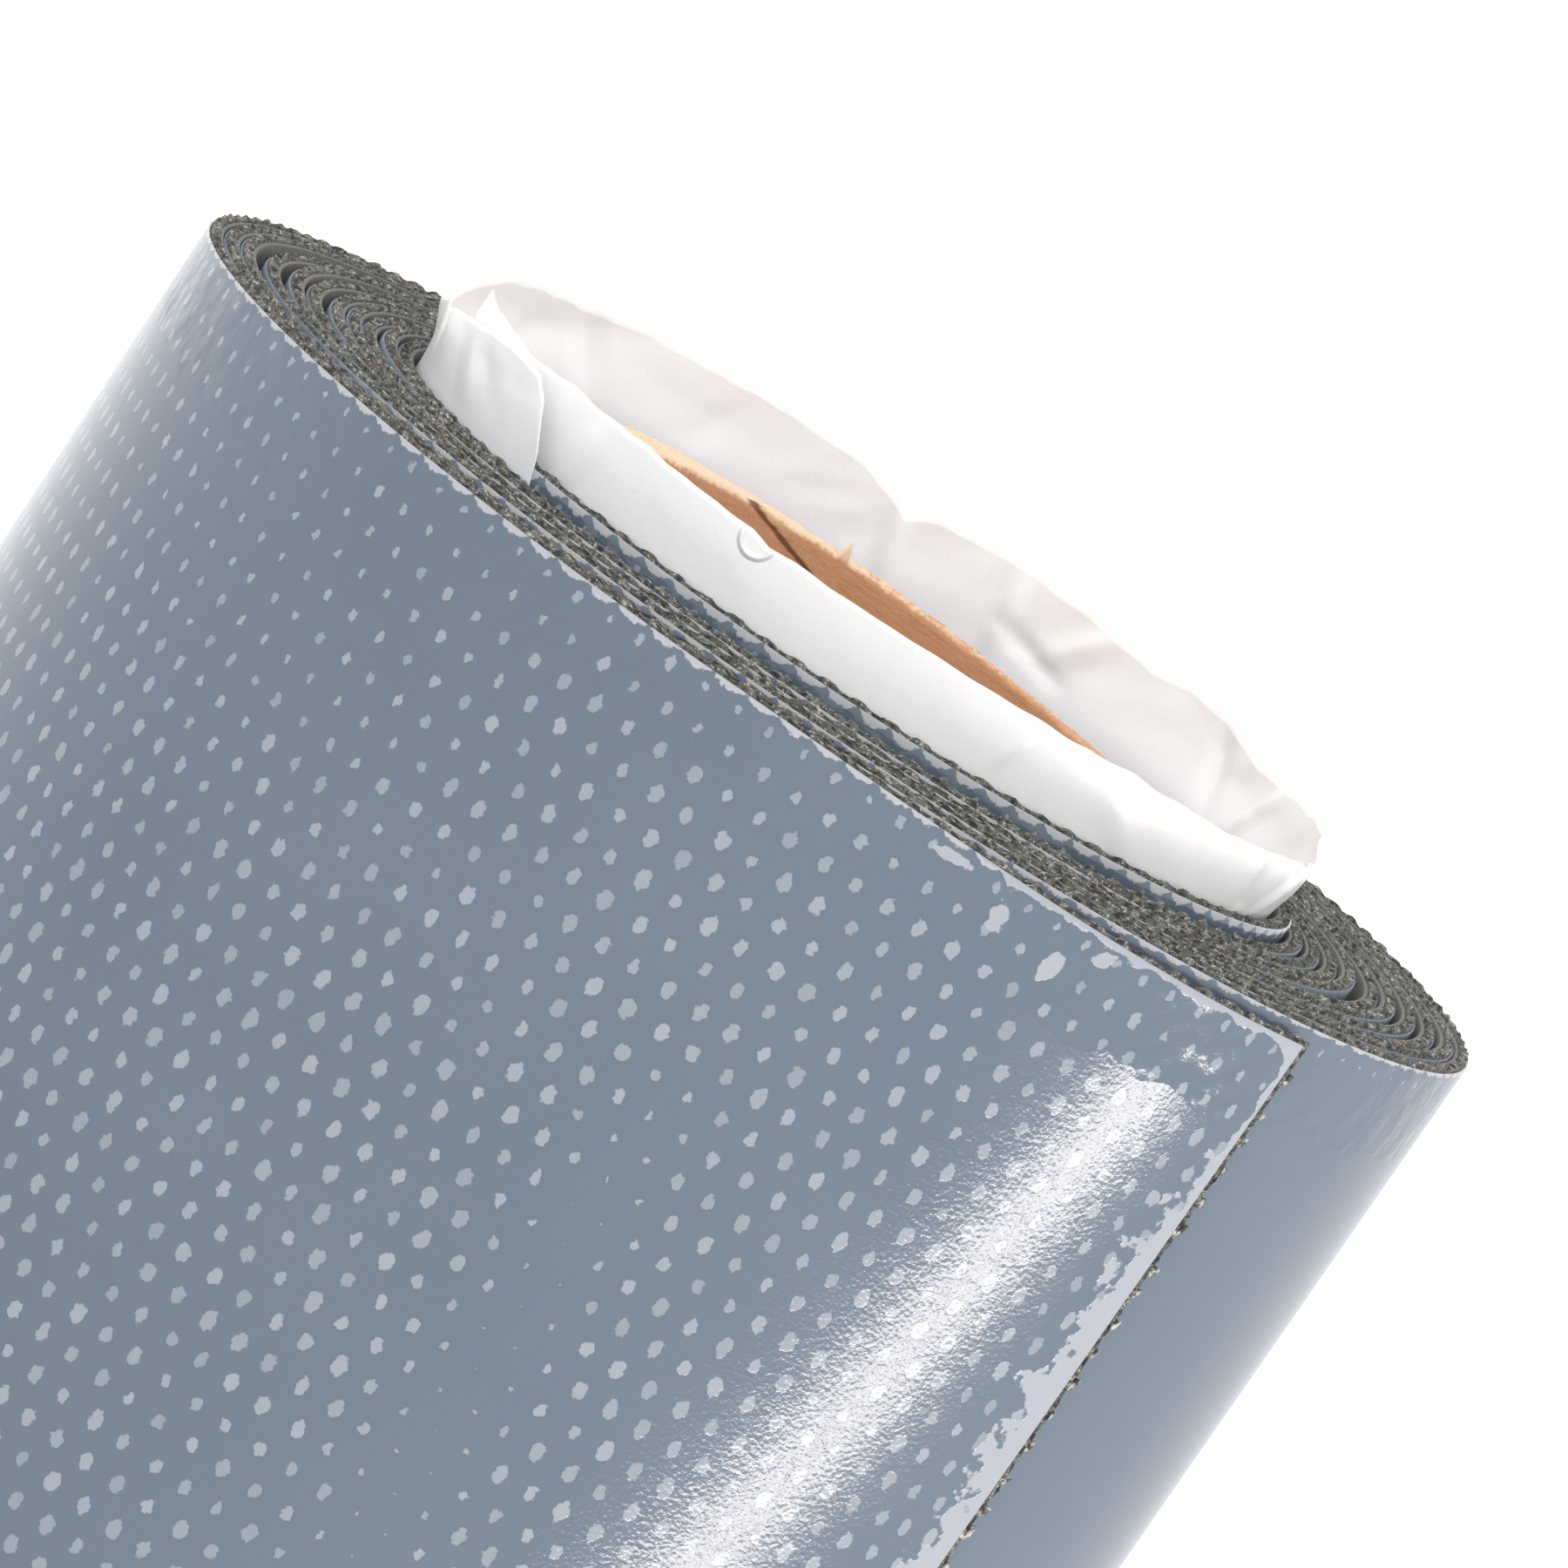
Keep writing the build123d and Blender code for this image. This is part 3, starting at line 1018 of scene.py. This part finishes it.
def core_ring(number):
    ply = (core_outside - core_bore) / 6
    inner = core_bore + ply * (number - 1)
    outer = inner + ply
    around = 540
    section = [(0, inner)] + [(core_top - drop * MM, inner) for drop in (12, 3, 1.2, 0.5)]
    section += [(core_top, inner + 0.3 * ply), (core_top, outer - 0.3 * ply)]
    section += [(core_top - 0.5 * MM, outer), (core_top - 3 * MM, outer), (0, outer)]
    rows = len(section)
    bm = bmesh.new()
    bmesh.ops.create_grid(bm, x_segments=around, y_segments=rows, size=1)
    uv_layer = bm.loops.layers.uv.new("UVMap")
    for face in bm.faces:
        face.smooth = True
        for loop in face.loops:
            share = (loop.vert.co.x + 1) / 2
            height, radius = section[round((loop.vert.co.y + 1) / 2 * rows) % rows]
            loop[uv_layer].uv = (share * TURN * core_bore, height + (inner - radius))
    for vert in bm.verts:
        angle = (vert.co.x + 1) / 2 * TURN
        height, radius = section[round((vert.co.y + 1) / 2 * rows) % rows]
        top = float(smooth(core_top - 2 * MM, core_top, height))
        around_point = Vector((math.cos(angle), math.sin(angle), number * 3.3))
        fray = noise.noise(around_point * 9) * 0.2 + noise.noise(around_point * 30) * 0.2
        fray += noise.noise(around_point * 75) * 0.12
        torn = 0.75 * math.cos((angle - torn_angle) / 2) ** 8
        burr = 1.5 * max(0, 1 - abs(angle - burr_angle) / 0.022) if number in (1, 2) else 0
        height += top * (fray - torn * (0.6 + 0.15 * number) - 0.25 + burr) * MM
        radius += top * 0.12 * MM * noise.noise(around_point * 40 + Vector((5, 5, 5)))
        vert.co = point_at(angle, radius, height)
    bmesh.ops.remove_doubles(bm, verts=bm.verts, dist=1e-7)
    bmesh.ops.recalc_face_normals(bm, faces=bm.faces)
    ring = make_object("board_ply_" + str(number), bm, board_material(number))
    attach(ring, "roll")
    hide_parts("core_ply_" + str(number))
    return ring


core_rings = [core_ring(number) for number in range(1, 7)]
print("core rings", len(core_rings), "faces each", len(core_rings[0].data.polygons))

# %% [markdown]
# ## Tape and inner film
# The starting tape and the film's first turns on the core keep their CAD shapes, which are right,
# and get their own finishes.

# %% Tape and inner film
t = Tree("start_tape", 0.45)
tape_noise = t.noise(t.place(), 6 * MM, 3)
t.color(t.mix(tape_noise, srgb(214, 196, 150), srgb(226, 210, 168)))
t.bump(t.noise(t.place(), 0.8 * MM, 3), 0.03 * MM, 0.6)
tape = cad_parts["start_tape"]
tape.data.materials.clear()
tape.data.materials.append(t.material)
inner_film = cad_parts["leader_film"]
inner_film.data.materials.clear()
inner_film.data.materials.append(collar_look)
print("finished", tape.name, inner_film.name)


# %% [markdown]
# ## Camera
# The camera looks slightly down on the upper end from close by, and is rolled, so the roll leans in
# the frame. A long lens keeps the sides nearly parallel. The scene itself could be leant over
# instead, but then the part would no longer stand in its own frame.

# %% Camera
camera_distance = 9.729 * roll_radius
camera_height = sheet_top + 1.1555 * roll_radius
camera_pitch = -0.13943
camera_yaw = 0.003563
camera_roll = 0.59337
camera_data = bpy.data.cameras.new("camera")
camera_data.sensor_width = 36
camera_data.lens = 168.74
camera_data.clip_start = 0.01
camera_data.clip_end = 50
camera = bpy.data.objects.new("camera", camera_data)
bpy.context.scene.collection.objects.link(camera)
camera.location = (0, -camera_distance, camera_height)
camera.rotation_mode = "XYZ"
look = Matrix.Rotation(-camera_yaw, 3, "Z") @ Matrix.Rotation(math.pi / 2 + camera_pitch, 3, "X")
camera.rotation_euler = (look @ Matrix.Rotation(camera_roll, 3, "Z")).to_euler("XYZ")
bpy.context.scene.camera = camera
print("camera at", [round(c, 3) for c in camera.location])

# %% [markdown]
# ## Floor and light
# A white surround gives even light. It is dimmer behind the roll to the right, where it would wash
# out the film's far side, but the lens still sees it white. A bank of small soft panels on the right
# draws the long highlight on the film: each panel lights its own stretch, so the bank can be slanted
# to place the highlight. A small pale floor disc carries the roll.

# %% Floor and light
floor_tree = Tree("floor", 0.6)
mottle = floor_tree.noise(floor_tree.place(), 0.3, 2)
floor_tree.color(floor_tree.mix(mottle, (0.86, 0.86, 0.86, 1), (0.9, 0.9, 0.9, 1)))
bm = bmesh.new()
bmesh.ops.create_circle(bm, cap_ends=True, segments=96, radius=1.1)
floor = make_object("floor", bm, floor_tree.material)

surround = 1.38
world = bpy.data.worlds.new("studio")
world.use_nodes = True
world_nodes = world.node_tree.nodes
world_links = world.node_tree.links
background = world_nodes["Background"]
background.inputs["Color"].default_value = (1, 1, 1, 1)
facing = world_nodes.new("ShaderNodeVectorMath")
facing.operation = "DOT_PRODUCT"
facing.inputs[1].default_value = (0.42, 0.91, 0.0)
world_links.new(world_nodes.new("ShaderNodeTexCoord").outputs["Generated"], facing.inputs[0])
dim = world_nodes.new("ShaderNodeMapRange")
dim.interpolation_type = "SMOOTHSTEP"
dim_range = {"From Min": 0.62, "From Max": 0.95, "To Min": surround, "To Max": 0.75 * surround}
for socket, value in dim_range.items():
    dim.inputs[socket].default_value = value
world_links.new(facing.outputs["Value"], dim.inputs["Value"])
seen = world_nodes.new("ShaderNodeMix")
seen.inputs[3].default_value = surround
world_links.new(world_nodes.new("ShaderNodeLightPath").outputs["Is Camera Ray"], seen.inputs["Factor"])
world_links.new(dim.outputs["Result"], seen.inputs[2])
world_links.new(seen.outputs[0], background.inputs["Strength"])
bpy.context.scene.world = world
bpy.context.scene.view_settings.view_transform = "Standard"


# %% Light panels
def soft_light(name, location, target, size_x, size_y, power, long_way):
    """A rectangular light that faces the target, with its long side turned towards long_way."""
    light = bpy.data.lights.new(name, "AREA")
    light.shape = "RECTANGLE"
    light.size = size_x
    light.size_y = size_y
    light.energy = power
    holder = bpy.data.objects.new(name, light)
    bpy.context.scene.collection.objects.link(holder)
    back = (Vector(location) - Vector(target)).normalized()
    side = Vector(long_way).cross(back).normalized()
    up = back.cross(side)
    holder.matrix_world = Matrix.Translation(location) @ Matrix((side, up, back)).transposed().to_4x4()
    return holder


panel_width = 0.14
panel_height = 0.034
panel_power = 0.27
panel_tint = (1.0, 0.92, 0.86)
panel_top = Vector((0.806, -0.238, 0.535))
panel_low = Vector((0.690, -0.468, 0.416))
for number in range(-1, 9):
    place = panel_top.lerp(panel_low, number / 4)
    target = (0.04, -0.05, place.z)
    name = "light_panel_" + str(number)
    panel = soft_light(name, place, target, panel_width, panel_height, panel_power, (0, 0, 1))
    panel.data.color = panel_tint
print("light panels", len(bpy.data.lights))
